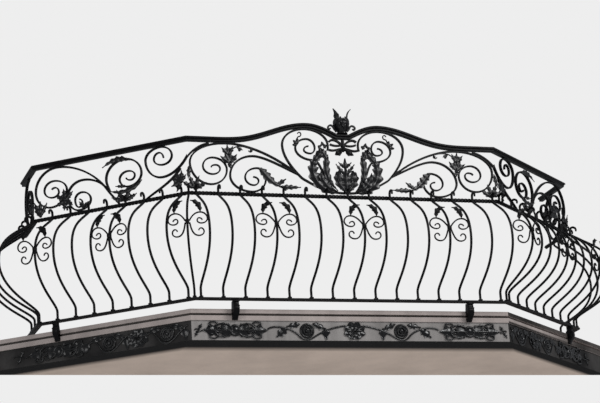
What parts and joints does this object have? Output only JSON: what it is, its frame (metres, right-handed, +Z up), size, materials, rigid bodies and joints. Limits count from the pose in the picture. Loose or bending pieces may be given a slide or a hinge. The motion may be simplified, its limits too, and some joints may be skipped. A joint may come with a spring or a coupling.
{
  "type": "wrought iron balcony",
  "caption": "Canted balcony with a bellied wrought iron railing, scrolled upper band, leafy crest and a masonry slab with an iron frieze, held by the wall behind it.",
  "frame": {"origin": "middle of the slab's back face, on the wall", "axes": "+X along the wall, -Y out from the wall, +Z up"},
  "size_m": [4.5104, 1.3316, 1.516],
  "materials": {
    "bar_iron": "satin black paint",
    "leaf_iron": "satin black paint",
    "frieze_iron": "satin black paint",
    "pale_render": "weathered render",
    "grey_render": "weathered render",
    "shadow_render": "soiled render"
  },
  "bodies": {
    "root": {"floor_slab": "pale_render", "sunk_joint": "shadow_render", "belt_course": "pale_render", "fascia_course": "grey_render", "front_frieze_medallions": "frieze_iron", "left_frieze_medallions": "frieze_iron", "right_frieze_medallions": "frieze_iron", "front_frieze_vines": "frieze_iron", "left_frieze_vines": "frieze_iron", "right_frieze_vines": "frieze_iron", "front_brackets": "bar_iron", "side_brackets": "bar_iron", "front_bottom_rail": "bar_iron", "left_bottom_rail": "bar_iron", "right_bottom_rail": "bar_iron", "front_middle_rail": "bar_iron", "left_middle_rail": "bar_iron", "right_middle_rail": "bar_iron", "front_hand_rail": "bar_iron", "left_hand_rail": "bar_iron", "right_hand_rail": "bar_iron", "left_return": "bar_iron", "right_return": "bar_iron", "front_bars_panel": "bar_iron", "left_bars_panel": "bar_iron", "right_bars_panel": "bar_iron", "front_butterfly_scrolls": "bar_iron", "left_butterfly_scrolls": "bar_iron", "right_butterfly_scrolls": "bar_iron", "front_left_scrolls": "bar_iron", "front_right_scrolls": "bar_iron", "left_scrolls": "bar_iron", "right_scrolls": "bar_iron", "heart_bar": "bar_iron", "heart_acanthus": "leaf_iron", "palmette": "leaf_iron", "bow_tie": "bar_iron", "crown_finial": "leaf_iron", "front_left_leaves": "leaf_iron", "front_right_leaves": "leaf_iron", "left_leaves": "leaf_iron", "right_leaves": "leaf_iron"}
  },
  "joints": []
}
